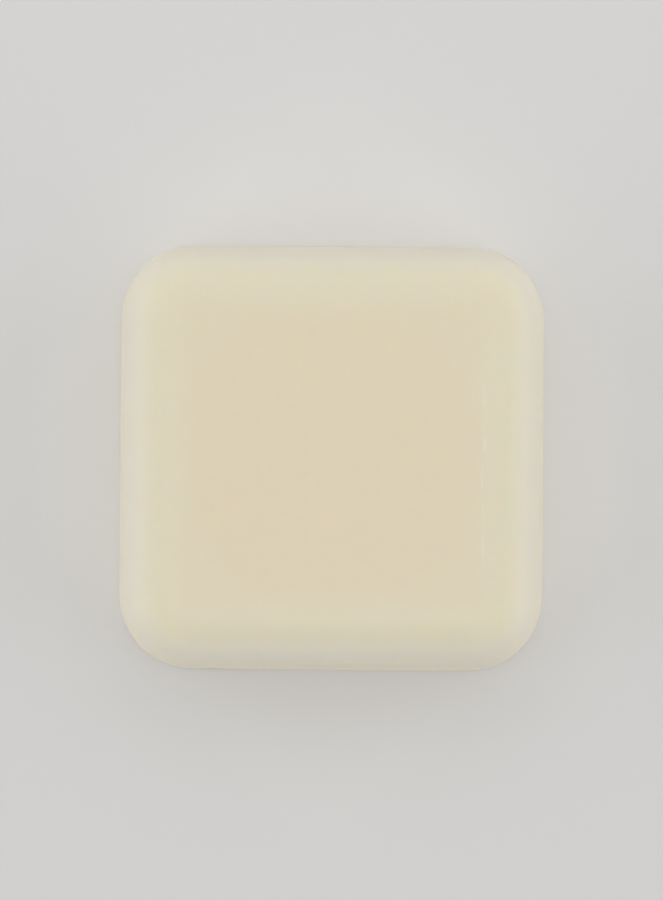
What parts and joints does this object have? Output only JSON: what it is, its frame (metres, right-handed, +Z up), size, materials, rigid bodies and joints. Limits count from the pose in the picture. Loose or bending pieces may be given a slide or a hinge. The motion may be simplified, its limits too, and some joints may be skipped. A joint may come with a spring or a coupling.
{
  "type": "shaving soap puck",
  "caption": "Square block of hard shaving soap with rounded corners, a wide rounded top edge and a flat base it rests on.",
  "frame": {"origin": "middle of the base, the flat face that the puck rests on", "axes": "+Z up through the lathering face, +X to the right and +Y to the back with the puck seen from its front"},
  "size_m": [0.06, 0.06, 0.025],
  "materials": {
    "hard_soap": "satin"
  },
  "bodies": {
    "root": {"soap_puck": "hard_soap"}
  },
  "joints": []
}
